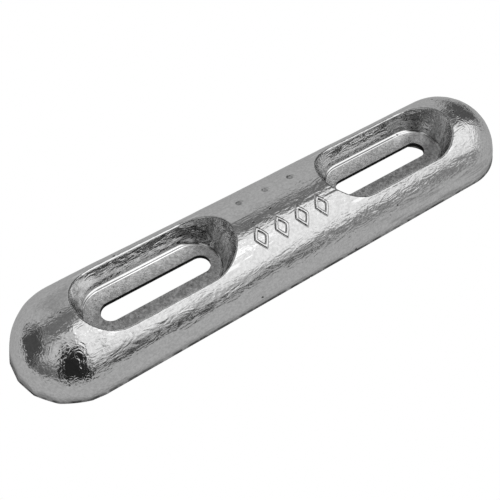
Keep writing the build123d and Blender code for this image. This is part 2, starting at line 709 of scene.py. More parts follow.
    def bed_ring(self, height: float) -> np.ndarray:
        """Half the strap's outline: rays from the pocket's spine to its end and straight sides,
        then along the sides to the bar's middle plane and across it.

        Args:
            height: height above the back.

        Returns:
            The ring, shape (n, 3).
        """
        half = self.strap_half_width
        start = self.pocket.floor.centre + self.along * self.pocket.floor.half_spine
        ahead, across, _ = self.outward.T
        to_side = half / np.maximum(np.abs(across), TINY)
        to_end = (self.strap_half_length - start) / np.maximum(ahead, TINY)
        reach = np.minimum(to_side, np.where(ahead > TINY, to_end, np.inf))
        x = start + reach * ahead
        y = reach * across
        before = slice(self.seam.start - self.turn_steps, self.seam.start)
        after = slice(self.seam.stop, self.seam.stop + self.turn_steps)
        x[before] = spaced(start[before.start], 0, self.turn_steps)
        y[before] = half
        x[self.seam] = 0
        y[self.seam] = spaced(half, -half, self.seam_steps)
        x[after] = spaced(0, start[before.start], self.turn_steps)
        y[after] = -half
        return np.stack([x, y, np.full_like(x, height)], -1)

    def inner_rows(self, base: np.ndarray) -> list[np.ndarray]:
        """Rings across the back from its edge to the recess, up the recess to the strap, and
        out under the strap to the edge of its bed.

        Args:
            base: the last of the outer rows, at the back's edge.

        Returns:
            The rings, each of shape (n, 3).
        """
        recess = self.recess
        bottom = recess.slot.strap_bottom
        half = base[self.seam.start, 1]
        edge = base.copy()
        edge[self.seam, 0] = 0
        edge[self.seam, 1] = spaced(half, -half, self.seam_steps)
        edge[:, 2] = 0
        mouth = self.ring(recess.outline_at(0.0))
        up_wall = unit(self.ring(recess.outline_at(bottom)) - mouth)
        rounding = round_corner(-self.outward, mouth, up_wall, recess.edge_radius, self.recess_rows)
        rows = [edge, *rows_to(edge, rounding[0], self.back_rows)[:-1], *rounding]
        for height in np.linspace(self.recess_first, bottom, self.recess_rows):
            rows.append(self.ring(recess.outline_at(height)))
        return rows + [self.bed_ring(bottom), self.bed_ring(recess.slot.strap_top)]

    def build(self) -> bpy.types.Object:
        """Both halves of the skin, pressed in. Where the strap's bed runs through the middle
        plane, its wall has no faces.

        Returns:
            The casting.
        """
        outer = self.outer_rows()
        inner = self.inner_rows(outer[-1])
        columns = len(self.angle)
        on_seam = np.zeros(columns, bool)
        on_seam[self.seam] = True
        points = []
        faces = []
        count = 0
        for rows in (outer, inner):
            quads = grid_faces(len(rows), columns)
            if rows is inner:
                bed_side = quads[:, 0] // columns == len(rows) - 2
                quads = quads[~(bed_side & on_seam[quads[:, 0] % columns])]
            for mirror in (1, -1):
                points.append(np.concatenate(rows) * [mirror, 1, 1])
                faces.append(quads + count)
                count += len(rows) * columns
        piece = make_piece("zinc_casting", np.concatenate(points), np.concatenate(faces))
        self.press_in(piece.data)
        return piece

    def press_in(self, mesh: bpy.types.Mesh) -> None:
        """Moves the skin inwards by its ripple and punch marks, along its normals, and level
        by its flats. The lip, the strap's bed, the recesses and the back keep their true form.

        Args:
            mesh: the casting's skin.
        """
        points, normals = np.empty((2, len(mesh.vertices), 3))
        mesh.vertices.foreach_get("co", points.reshape(-1))
        mesh.vertex_normals.foreach_get("vector", normals.reshape(-1))
        points /= MM
        _, away, reach = self.bar.from_spine(points)
        foot = self.pocket.foot.height
        weight = np.where(
            reach < self.pocket.mouth.width / 2,
            smooth_step(points[:, 2], foot, foot + self.calm_wall),
            smooth_step(points[:, 2], *self.calm_foot),
        )
        depth = weight * self.ripple.depth(points) + self.punches.depth_at(points, self.bar)
        pull = self.flats.depth_at(points, self.bar) * smooth_step(reach, *self.flats_reach)
        moved = points - depth[:, None] * normals
        moved[:, :2] -= pull[:, None] * unit(away)
        mesh.vertices.foreach_set("co", (moved * MM).reshape(-1))
        mesh.update()


@dataclass
class RaisedLozenges:
    """Four plain lozenge rings cast proud of one flank."""

    bar: BarForm
    ripple: Ripple
    count: int = 4
    pitch: float = 12.4
    width: float = 8.4
    height: float = 14.0
    opening: float = 0.45
    relief: float = 0.8
    tilt: float = math.radians(-23.5)
    sink: float = 0.6
    flare: float = 0.03
    ridge_power: float = 2.6
    corner_power: float = 1.15
    around: int = 120
    ridge_steps: int = 14

    def ridge(self) -> tuple[np.ndarray, np.ndarray]:
        """Section of a ring, from its sunk outer foot over the ridge to its sunk inner foot
        and back. With t from 0 to 1 across the ridge and the power p, it rises by
        relief * (1 - |2t - 1|^p).

        Returns:
            The share of the lozenge's size and the height over the skin, one for each ring.
        """
        across = np.linspace(0, 1, self.ridge_steps + 1)
        share = 1 - (1 - self.opening) * across
        lift = self.relief * (1 - np.abs(2 * across - 1) ** self.ridge_power)
        outer = 1 + self.flare
        share = np.concatenate([[outer], share, [self.opening - self.flare, outer]])
        lift = np.concatenate([[-self.sink], lift, [-self.sink, -self.sink]])
        return share, lift

    def build(self) -> bpy.types.Object:
        """Wraps each ring onto the bar. Its outline is |u|^p + |v|^p = 1 with the corner power
        p, stretched to the lozenge's half sizes, so its corners are a little round.

        Returns:
            The four rings as one piece.
        """
        bearing = spaced(0, 2 * math.pi, self.around)
        shape = np.stack([np.cos(bearing), np.sin(bearing)], -1)
        size = (np.abs(shape) ** self.corner_power).sum(axis=-1, keepdims=True)
        shape *= size ** (-1 / self.corner_power) * [self.width / 2, self.height / 2]
        share, lift = self.ridge()
        flat = shape * share[:, None, None]
        points = []
        faces = []
        for number in range(self.count):
            along = (number - (self.count - 1) / 2) * self.pitch
            skin = self.bar.place(flat + [along, self.tilt * self.bar.dome_radius])
            axis = skin * [1, 0, 0] + [0, 0, self.bar.dome_axis]
            raised = skin + (lift[:, None] - self.ripple.depth(skin))[..., None] * unit(skin - axis)
            faces.append(grid_faces(len(share), self.around) + number * raised[..., 0].size)
            points.append(raised.reshape(-1, 3))
        return make_piece("raised_lozenges", np.concatenate(points), np.concatenate(faces))


# ---------------------------------------------------------------- node helpers


def grey(value: float) -> Colour:
    """Neutral grey of a linear value."""
    return (value, value, value, 1.0)


def cleared(owner: bpy.types.Material | bpy.types.World) -> bpy.types.NodeTree:
    """Empties the nodes of a new material or world.

    Args:
        owner: the material or world.

    Returns:
        Its node tree.
    """
    owner.use_nodes = True
    owner.node_tree.nodes.clear()
    return owner.node_tree


@dataclass
class NodeBoard:
    """Adds nodes to one node tree. A term is a socket or a number."""

    tree: bpy.types.NodeTree

    def add(self, kind: str, values: dict | None = None, **settings: object) -> bpy.types.Node:
        """Adds a node.

        Args:
            kind: Blender's name of the node type.
            values: for each input, by name or number, a socket to link or a constant.
            settings: properties of the node.

        Returns:
            The new node.
        """
        node = self.tree.nodes.new(kind)
        for name, value in settings.items():
            setattr(node, name, value)
        for name, value in (values or {}).items():
            self.feed(node.inputs[name], value)
        return node

    def feed(self, socket: Socket, value: object) -> None:
        """Links an input to another socket, or sets its constant.

        Args:
            socket: the input.
            value: the socket to link, or the constant.
        """
        if isinstance(value, Socket):
            self.tree.links.new(value, socket)
        else:
            socket.default_value = value

    def place(self, group: bpy.types.NodeTree, values: dict[str, object], **settings: object) -> Socket:
        """Output of a group that is given its own values."""
        return self.add("ShaderNodeGroup", values, node_tree=group, **settings).outputs[0]

    def math(self, operation: str, *terms: object) -> Socket:
        """Result of a Math node on up to three terms."""
        return self.add("ShaderNodeMath", dict(enumerate(terms)), operation=operation).outputs[0]

    def chain(self, operation: str, first: object, *others: object) -> Socket:
        """Carries a Math operation on through any number of terms.

        Args:
            operation: Blender's name of the operation.
            first: the term to start with.
            others: the terms that follow.

        Returns:
            The result.
        """
        for other in others:
            first = self.math(operation, first, other)
        return first

    def product(self, *terms: object) -> Socket:
        """All the terms multiplied."""
        return self.chain("MULTIPLY", *terms)

    def greatest(self, *terms: object) -> Socket:
        """The greatest of the terms."""
        return self.chain("MAXIMUM", *terms)

    def ramp(self, value: object, span: tuple, start: object, end: object) -> Socket:
        """Smooth step from start to end, while a value goes through a span.

        Args:
            value: the value.
            span: where the step begins and ends.
            start: the result up to the span.
            end: the result past it.

        Returns:
            The result.
        """
        low, high = span
        values = {"Value": value, "From Min": low, "From Max": high, "To Min": start, "To Max": end}
        return self.add("ShaderNodeMapRange", values, interpolation_type="SMOOTHSTEP").outputs[0]

    def rise(self, value: object, span: tuple, high: float = 1.0) -> Socket:
        """Smooth step up from 0."""
        return self.ramp(value, span, 0.0, high)

    def fall(self, value: object, span: tuple, high: float = 1.0) -> Socket:
        """Smooth step down to 0."""
        return self.ramp(value, span, high, 0.0)

    def noise(self, vector: Socket, size: object, detail: float, distortion: float) -> Socket:
        """Noise between 0 and 1.

        Args:
            vector: where it is read.
            size: how wide its lumps are.
            detail: how many finer noises lie on top.
            distortion: how far its lumps are twisted.

        Returns:
            The noise's value.
        """
        scale = self.math("DIVIDE", 1.0, size)
        values = {"Vector": vector, "Scale": scale, "Detail": detail, "Distortion": distortion}
        return self.add("ShaderNodeTexNoise", values).outputs[0]

    def axes(self, vector: Socket) -> list[Socket]:
        """The X, Y and Z of a vector."""
        return list(self.add("ShaderNodeSeparateXYZ", {"Vector": vector}).outputs)

    def scaled(self, vector: Socket, scale: tuple[float, float, float]) -> Socket:
        """A vector multiplied along each axis."""
        return self.add("ShaderNodeMapping", {"Vector": vector, "Scale": scale}).outputs[0]

    def colour(self, share: object, low: object, high: object) -> Socket:
        """Blend of two colours by a share from 0 to 1."""
        return self.add("ShaderNodeMix", {0: share, 6: low, 7: high}, data_type="RGBA").outputs[2]


@dataclass
class SkinBoard(NodeBoard):
    """Board on a material's nodes. It starts with the place on the piece, in millimetres."""

    vector: Socket = field(init=False)
    x: Socket = field(init=False)
    y: Socket = field(init=False)
    z: Socket = field(init=False)

    def __post_init__(self) -> None:
        """Scales Object coordinates to millimetres and splits them."""
        self.vector = self.scaled(self.add("ShaderNodeTexCoord").outputs["Object"], (1 / MM,) * 3)
        self.x, self.y, self.z = self.axes(self.vector)

    def outside(self, stadium: Stadium, shift: float = 0.0) -> Socket:
        """Level distance outside a stadium or its mirror image about the middle plane,
        whichever is nearer. Inside one it is negative.

        Args:
            stadium: the outline.
            shift: how far both are moved towards -Y.

        Returns:
            The distance in millimetres.
        """
        y = self.math("ADD", self.y, shift)
        along = self.math("ABSOLUTE", self.math("SUBTRACT", self.math("ABSOLUTE", self.x), stadium.centre))
        beyond = self.greatest(self.math("SUBTRACT", along, stadium.half_spine), 0.0)
        square = self.math("MULTIPLY_ADD", y, y, self.product(beyond, beyond))
        return self.math("SUBTRACT", self.math("SQRT", square), stadium.width / 2)

    def over(self, height: float) -> Socket:
        """1 above a height, and 0 under it."""
        return self.math("GREATER_THAN", self.z, height)


def open_group(
    name: str, inputs: dict[str, str], output: str
) -> tuple[NodeBoard, dict[str, Socket], Socket]:
    """Starts a shader node group.

    Args:
        name: name of the group.
        inputs: kind of each input socket, by name.
        output: name of its one output, a number.

    Returns:
        A board on the group, its inputs by name, and the socket that takes its output.
    """
    tree = bpy.data.node_groups.new(name, "ShaderNodeTree")
    for label, kind in inputs.items():
        tree.interface.new_socket(name=label, in_out="INPUT", socket_type=kind)
    tree.interface.new_socket(name=output, in_out="OUTPUT", socket_type=FLOAT)
    board = NodeBoard(tree)
    entry = board.add("NodeGroupInput")
    sockets = {label: entry.outputs[label] for label in inputs}
    return board, sockets, board.add("NodeGroupOutput").inputs[output]


@dataclass
class Effects:
    """Node groups that more than one finish uses. Sizes are in millimetres."""

    ripple: bpy.types.NodeTree = field(init=False)
    specks: bpy.types.NodeTree = field(init=False)
    mottle: bpy.types.NodeTree = field(init=False)
    speck_core: float = 0.6

    def __post_init__(self) -> None:
        """Builds each group once."""
        self.ripple = self.build_ripple()
        self.specks = self.build_specks()
        self.mottle = self.build_mottle()

    def build_ripple(self) -> bpy.types.NodeTree:
        """Height of a skin that froze in wrinkles: coarse and fine noise, and sharp creases
        where a third noise passes its middle, each with its depth.

        Returns:
            The new group.
        """
        names = ("Coarse Size", "Coarse Depth", "Fine Size", "Fine Depth", "Crease Size", "Crease Depth")
        kinds = {"Vector": VECTOR, "Fine Vector": VECTOR} | dict.fromkeys(names, FLOAT)
        board, entry, height = open_group("frozen_ripple", kinds, "Height")
        coarse = board.noise(entry["Vector"], entry["Coarse Size"], detail=2.0, distortion=0.9)
        fine = board.noise(entry["Fine Vector"], entry["Fine Size"], detail=2.0, distortion=0.3)
        fold = board.noise(entry["Vector"], entry["Crease Size"], detail=1.0, distortion=1.2)
        crease = board.math("ABSOLUTE", board.math("SUBTRACT", fold, 0.5))
        total = board.product(coarse, entry["Coarse Depth"])
        total = board.math("MULTIPLY_ADD", crease, entry["Crease Depth"], total)
        board.feed(height, board.math("MULTIPLY_ADD", fine, entry["Fine Depth"], total))
        return board.tree

    def build_specks(self) -> bpy.types.NodeTree:
        """Mask of small round specks: a cell of a cellular pattern holds one where its random
        value is under the share, and the speck's radius is a share of the cell.

        Returns:
            The new group.
        """
        kinds = {"Vector": VECTOR} | dict.fromkeys(("Spacing", "Share", "Radius"), FLOAT)
        board, entry, mask = open_group("specks", kinds, "Mask")
        scale = board.math("DIVIDE", 1.0, entry["Spacing"])
        cells = board.add("ShaderNodeTexVoronoi", {"Vector": entry["Vector"], "Scale": scale}).outputs
        lot = board.add("ShaderNodeSeparateColor", {"Color": cells["Color"]}).outputs[0]
        chosen = board.math("LESS_THAN", lot, entry["Share"])
        core = board.product(entry["Radius"], self.speck_core)
        spot = board.rise(cells["Distance"], (entry["Radius"], core))
        board.feed(mask, board.product(spot, chosen))
        return board.tree

    def build_mottle(self) -> bpy.types.NodeTree:
        """Cloudy value from 0 to 1, with more contrast as the spread gets smaller.

        Returns:
            The new group.
        """
        kinds = {"Vector": VECTOR, "Size": FLOAT, "Spread": FLOAT}
        board, entry, value = open_group("mottle", kinds, "Value")
        cloud = board.noise(entry["Vector"], entry["Size"], detail=4.0, distortion=0.4)
        low = board.math("SUBTRACT", 0.5, entry["Spread"])
        high = board.math("ADD", 0.5, entry["Spread"])
        board.feed(value, board.rise(cloud, (low, high)))
        return board.tree


# ---------------------------------------------------------------- finishes


@dataclass(frozen=True)
class Relief:
    """One noise of the bump: how wide it is, and how deep on the calm and the rough part."""

    size: float
    calm_depth: float
    rough_depth: float


@dataclass(frozen=True)
class Pits:
    """Small pits: the size of their cells, the share of cells that hold one, their radius as
    a share of the cell, their depth and colour, and how much rougher they are."""

    spacing: float
    share: float
    radius: float
    depth: float
    colour: Colour
    roughness: float = 0.25


@dataclass(frozen=True)
class Patches:
    """Uneven patches of painted shade and of dirt: a noise that brings them from least to most while its
    value goes through the span. Where the scale of an axis is under 1, the patches are longer along it."""

    size: float
    detail: float
    distortion: float
    span: Span
    least: float = 0.0
    most: float = 1.0
    scale: tuple[float, float, float] = (1.0, 1.0, 1.0)

    def mask(self, skin: SkinBoard) -> Socket:
        """How much of the painted shade and dirt shows at each place."""
        noise = skin.noise(skin.scaled(skin.vector, self.scale), self.size, self.detail, self.distortion)
        return skin.ramp(noise, self.span, self.least, self.most)


@dataclass(frozen=True)
class MetalFinish(ABC):
    """What both finishes share: a metal whose colour, gloss and relief change over it. The
    bump grows along X from its calm depths to its rough ones, over the rough part's span."""

    slot: Slot
    metallic: float
    dark: Colour
    light: Colour
    cloud_size: float
    cloud_spread: float
    roughness: Span
    gloss_size: float
    coarse: Relief
    fine: Relief
    crease: Relief
    pits: Pits
    along: float
    edge_tint: float
    # colour that painted shade and dirt darken the metal towards
    shade_and_dirt_colour: Colour
    # colour that painted highlights lift the metal towards
    highlight_colour: Colour = grey(1.0)
    gloss_spread: float = 0.25
    rough_part: Span = (-20.0, 40.0)
    straight: float = 117.5

    def material(self, effects: Effects) -> bpy.types.Material:
        """Principled metal. Clouds blend its two greys, painted highlights are brighter, and pits, painted
        shade and dirt darker. The bump is the ripple less the pits' depth.

        Args:
            effects: the shared node groups.

        Returns:
            The new material, named for its slot.
        """
        material = bpy.data.materials.new(self.slot.value)
        skin = SkinBoard(cleared(material))
        cloud, gloss = (
            skin.place(effects.mottle, {"Vector": skin.vector, "Size": size, "Spread": spread})
            for size, spread in ((self.cloud_size, self.cloud_spread), (self.gloss_size, self.gloss_spread))
        )
        pits = skin.place(effects.specks, {
            "Vector": skin.vector,
            "Spacing": self.pits.spacing,
            "Share": self.pits.share,
            "Radius": self.pits.radius,
        })
        height = skin.math("MULTIPLY_ADD", pits, -self.pits.depth, self.ripple_height(skin, effects))
        height = skin.product(height, self.relief_share(skin))
        bump = skin.add("ShaderNodeBump", {"Strength": 1.0, "Distance": MM, "Height": height})
        base = skin.colour(cloud, self.dark, self.light)
        # painted highlights lift the base colour towards white
        base = skin.colour(self.painted_highlight_mask(skin), base, self.highlight_colour)
        base = skin.colour(pits, base, self.pits.colour)
        # painted shade and dirt darken the base colour
        base = skin.colour(self.shade_and_dirt_mask(skin), base, self.shade_and_dirt_colour)
        rough = skin.ramp(gloss, (0.0, 1.0), *self.roughness)
        shader = skin.add("ShaderNodeBsdfPrincipled", {
            "Base Color": base,
            "Metallic": self.metallic,
            "Specular Tint": grey(self.edge_tint),
            "Roughness": skin.math("MULTIPLY_ADD", pits, self.pits.roughness, rough),
            "Normal": bump.outputs[0],
        })
        skin.add("ShaderNodeOutputMaterial", {"Surface": shader.outputs[0]})
        return material

    def ripple_height(self, skin: SkinBoard, effects: Effects) -> Socket:
        """Height of the skin's ripple. On the bar's straight stretch its coarse noise and its
        creases are longer along the bar than across it.

        Args:
            skin: the material's nodes.
            effects: the shared node groups.

        Returns:
            The height in millimetres.
        """
        straight = skin.greatest(skin.math("MINIMUM", skin.x, self.straight), -self.straight)
        squeezed = skin.math("MULTIPLY_ADD", straight, 1 / self.along - 1, skin.x)
        places = skin.add("ShaderNodeCombineXYZ", {"X": squeezed, "Y": skin.y, "Z": skin.z})
        values = {"Vector": places.outputs[0], "Fine Vector": skin.vector}
        for name, relief in (("Coarse", self.coarse), ("Fine", self.fine), ("Crease", self.crease)):
            values[f"{name} Size"] = relief.size
            depth = skin.ramp(skin.x, self.rough_part, relief.calm_depth, relief.rough_depth)
            values[f"{name} Depth"] = depth
        return skin.place(effects.ripple, values)

    @abstractmethod
    def shade_and_dirt_mask(self, skin: SkinBoard) -> Socket:
        """Where the metal is darkened by painted shade and dirt."""

    def painted_highlight_mask(self, skin: SkinBoard) -> Socket | float:
        """Where a highlight is painted on: nowhere, unless a finish has such places."""
        return 0.0

    def relief_share(self, skin: SkinBoard) -> Socket | float:
        """How much of the bump shows: all of it, unless a finish has calmer places."""
        return 1.0


@dataclass(frozen=True)
class CastSkin(MetalFinish):
    """Finish of the casting: painted contact shade along the bottom edge, dark in the punch marks, painted
    shade at the feet of the pockets' end walls and dark streaks up them, smeared low on the near flank, and
    painted highlights on the pockets' rims and lips. Spans of places are in millimetres from the frame's
    planes, and edges are spans of the distance outside an outline."""

    bar: BarForm = BarForm()
    pocket: PocketForm = PocketForm(SlotForm(), BarForm().height)
    punches: PunchMarks = PunchMarks()
    patches: Patches = Patches(5.0, 3.0, 0.5, (0.3, 0.6), least=0.35)
    # span of the painted contact shade along the bottom edge
    band_foot: Span = (0.0, 0.02)
    band_top: Span = (1.1, 2.2)
    punch_spot: Span = (0.5, 1.9)
    punch_share: float = 0.55
    streaks: Patches = Patches(3.0, 4.0, 1.5, (0.5, 0.6), most=0.55, scale=(1.0, 1.0, 0.2))
    inner_wall: Span = (41.0, 47.0)
    outer_wall: Span = (101.0, 107.0)
    wall_edge: Span = (-1.0, -0.5)
    # painted shade at the feet of the end walls
    wall_foot: Span = (11.2, 12.2)
    foot_shade_share: float = 0.7
    smears: Patches = Patches(2.6, 3.0, 0.4, (0.5, 0.62), scale=(0.12, 1.0, 1.0))
    smear_right: Span = (20.0, 60.0)
    smear_near: Span = (-24.0, -20.0)
    smear_low: Span = (9.0, 17.0)
    smear_share: float = 0.3
    # where highlights are painted on the rims and lips
    rim_place: float = 18.4
    rim_width: Span = (0.4, 0.9)
    rim_edge: Span = (1.5, 2.5)
    lip_edge: Span = (-0.1, 0.1)
    highlight_share: float = 0.9
    calm_share: float = 0.15
    calm_rise: float = 2.0
    calm_reach: float = 1.5
    clearance: float = 0.1

    def over_strap(self, skin: SkinBoard) -> Socket:
        """1 above the strap's upper face, and 0 under it."""
        return skin.over(self.pocket.slot.strap_top - self.clearance)

    def upper_half(self, skin: SkinBoard) -> Socket:
        """1 in the upper half of the bar's height, and 0 in the lower."""
        return skin.over(self.bar.height / 2)

    def shade_and_dirt_mask(self, skin: SkinBoard) -> Socket:
        """A thin band of painted contact shade just above the back, the marks, the end walls with painted
        shade at their feet, and the smears, whichever is darkest. All but the smears are patchy.

        Args:
            skin: the material's nodes.

        Returns:
            How much of the painted shade and dirt shows.
        """
        # painted contact shade: a thin dark band just above the back
        contact_shade = skin.product(skin.rise(skin.z, self.band_foot), skin.fall(skin.z, self.band_top))
        shade_and_dirt = skin.greatest(contact_shade, self.punch_mask(skin), self.end_wall_mask(skin))
        return skin.greatest(skin.product(shade_and_dirt, self.patches.mask(skin)), self.smear_mask(skin))

    def punch_mask(self, skin: SkinBoard) -> Socket:
        """Round spots on the axes of the punch marks. Along the bar the places are wrapped to
        one pitch, and across it their distance is from the marks' tilted plane.

        Args:
            skin: the material's nodes.

        Returns:
            How dark the spots are.
        """
        marks = self.punches
        along = skin.math("WRAP", skin.x, marks.pitch / 2, -marks.pitch / 2)
        rise = skin.product(skin.math("SUBTRACT", skin.z, self.bar.dome_axis), math.sin(marks.tilt))
        across = skin.math("SUBTRACT", skin.product(skin.y, math.cos(marks.tilt)), rise)
        square = skin.math("MULTIPLY_ADD", along, along, skin.product(across, across))
        spot = skin.fall(skin.math("SQRT", square), self.punch_spot, self.punch_share)
        inside = skin.math("LESS_THAN", skin.math("ABSOLUTE", skin.x), marks.count * marks.pitch / 2)
        return skin.product(spot, inside, self.upper_half(skin))

    def end_wall_mask(self, skin: SkinBoard) -> Socket:
        """The end walls of the pockets: painted shade at their feet, and streaks that run up them.

        Args:
            skin: the material's nodes.

        Returns:
            How dark the walls are.
        """
        away = skin.math("ABSOLUTE", skin.x)
        ends = skin.greatest(skin.fall(away, self.inner_wall), skin.rise(away, self.outer_wall))
        inside = skin.fall(skin.outside(self.pocket.mouth), self.wall_edge)
        # painted shade at the foot of each end wall, where it meets the strap
        foot = skin.fall(skin.z, self.wall_foot, self.foot_shade_share)
        shade_and_dirt = skin.greatest(foot, self.streaks.mask(skin))
        return skin.product(inside, self.over_strap(skin), ends, shade_and_dirt)

    def smear_mask(self, skin: SkinBoard) -> Socket:
        """Long thin smears, low on the near flank and only towards the right end.

        Args:
            skin: the material's nodes.

        Returns:
            How dark the smears are.
        """
        right = skin.rise(skin.x, self.smear_right, self.smear_share)
        near = skin.fall(skin.y, self.smear_near)
        low = skin.fall(skin.z, self.smear_low)
        return skin.product(self.smears.mask(skin), right, near, low)

    def painted_highlight_mask(self, skin: SkinBoard) -> Socket:
        """Painted highlights on the rims along the pockets' straight sides, and on the lips on the strap.

        Args:
            skin: the material's nodes.

        Returns:
            How bright the painted highlights are.
        """
        # painted highlight lines along the rims, and on the lips
        offset = skin.math("SUBTRACT", skin.math("ABSOLUTE", skin.y), self.rim_place)
        rim = skin.fall(skin.math("ABSOLUTE", offset), self.rim_width, self.highlight_share)
        beside = skin.fall(skin.outside(self.pocket.mouth), self.rim_edge)
        rim = skin.product(rim, beside, self.upper_half(skin))
        lip = skin.fall(skin.outside(self.pocket.foot), self.lip_edge, self.highlight_share)
        return skin.greatest(rim, skin.product(lip, self.over_strap(skin)))

    def relief_share(self, skin: SkinBoard) -> Socket:
        """Calm on the pockets' lips, which froze against the strap.

        Args:
            skin: the material's nodes.

        Returns:
            How much of the bump shows.
        """
        foot = self.pocket.foot
        risen = skin.ramp(skin.z, (foot.height, foot.height + self.calm_rise), self.calm_share, 1.0)
        return skin.greatest(risen, skin.math("GREATER_THAN", skin.outside(foot), self.calm_reach))


@dataclass(frozen=True)
class StrapSkin(MetalFinish):
    """Finish of the strap, with painted shade on its punched edges and beside its slots, most of all
    towards -Y, where the pockets' near walls shade the strap."""

    slot_form: SlotForm = SlotForm()
    patches: Patches = Patches(1.6, 4.0, 0.3, (0.3, 0.7), least=0.2)
    # painted shade on upright faces and beside the slots
    upright: Span = (0.5, 0.8)
    edge_shade_share: float = 0.97
    shade_width: float = 6.0
    shade_share: float = 0.5
    shade_shift: float = 3.0

    def shade_and_dirt_mask(self, skin: SkinBoard) -> Socket:
        """Painted shade on faces that don't look up or down, and painted shade that fades away from a slot.

        Args:
            skin: the material's nodes.

        Returns:
            How much of the painted shade shows.
        """
        normal = skin.add("ShaderNodeNewGeometry").outputs["Normal"]
        level = skin.math("ABSOLUTE", skin.axes(normal)[2])
        # painted shade on the slot walls and the strap's outer edges
        edge_shade = skin.fall(level, self.upright, self.edge_shade_share)
        slot = self.slot_form
        outline = Stadium(slot.centre, slot.strap_top, slot.length, slot.width)
        # painted shade beside the slots, moved towards -Y, under the near walls
        distance = skin.outside(outline, self.shade_shift)
        beside = skin.fall(distance, (0.0, self.shade_width), self.shade_share)
        return skin.greatest(edge_shade, skin.product(beside, self.patches.mask(skin)))


CAST_ZINC = CastSkin(
    slot=Slot.CAST_ZINC,
    metallic=1.0,
    dark=grey(0.67),
    light=grey(0.83),
    cloud_size=1.3,
    cloud_spread=0.2,
    roughness=(0.04, 0.12),
    gloss_size=7.0,
    coarse=Relief(3.0, 0.15, 0.15),
    fine=Relief(1.1, 0.05, 0.10),
    crease=Relief(3.6, 0.24, 0.40),
    pits=Pits(6.0, 0.12, 0.14, 0.25, grey(0.18)),
    along=3.0,
    edge_tint=0.85,
    # darkening colour of the painted shade and dirt on the casting
    shade_and_dirt_colour=grey(0.12),
)

GALVANISED_STEEL = StrapSkin(
    slot=Slot.GALVANISED_STEEL,
    metallic=0.8,
    dark=grey(0.66),
    light=grey(1.0),
    cloud_size=1.4,
    cloud_spread=0.12,
    roughness=(0.26, 0.40),
    gloss_size=3.0,
    coarse=Relief(1.0, 0.09, 0.09),
    fine=Relief(0.5, 0.02, 0.02),
    crease=Relief(1.5, 0.01, 0.01),
    pits=Pits(1.8, 0.3, 0.2, 0.04, grey(0.22)),
    along=1.0,
    edge_tint=0.6,
    # darkening colour of the painted shade on the strap
    shade_and_dirt_colour=grey(0.02),
)


# ---------------------------------------------------------------- studio and camera


@dataclass(frozen=True)
class Panel:
    """A light or dark panel of the studio, far away: where it stands and how bright it is.
    Azimuth is from +X towards +Y and elevation from the horizon, in degrees."""

    name: str
    azimuth: float
    elevation: float
    half_width: float
    half_height: float
    softness: float
    radiance: float


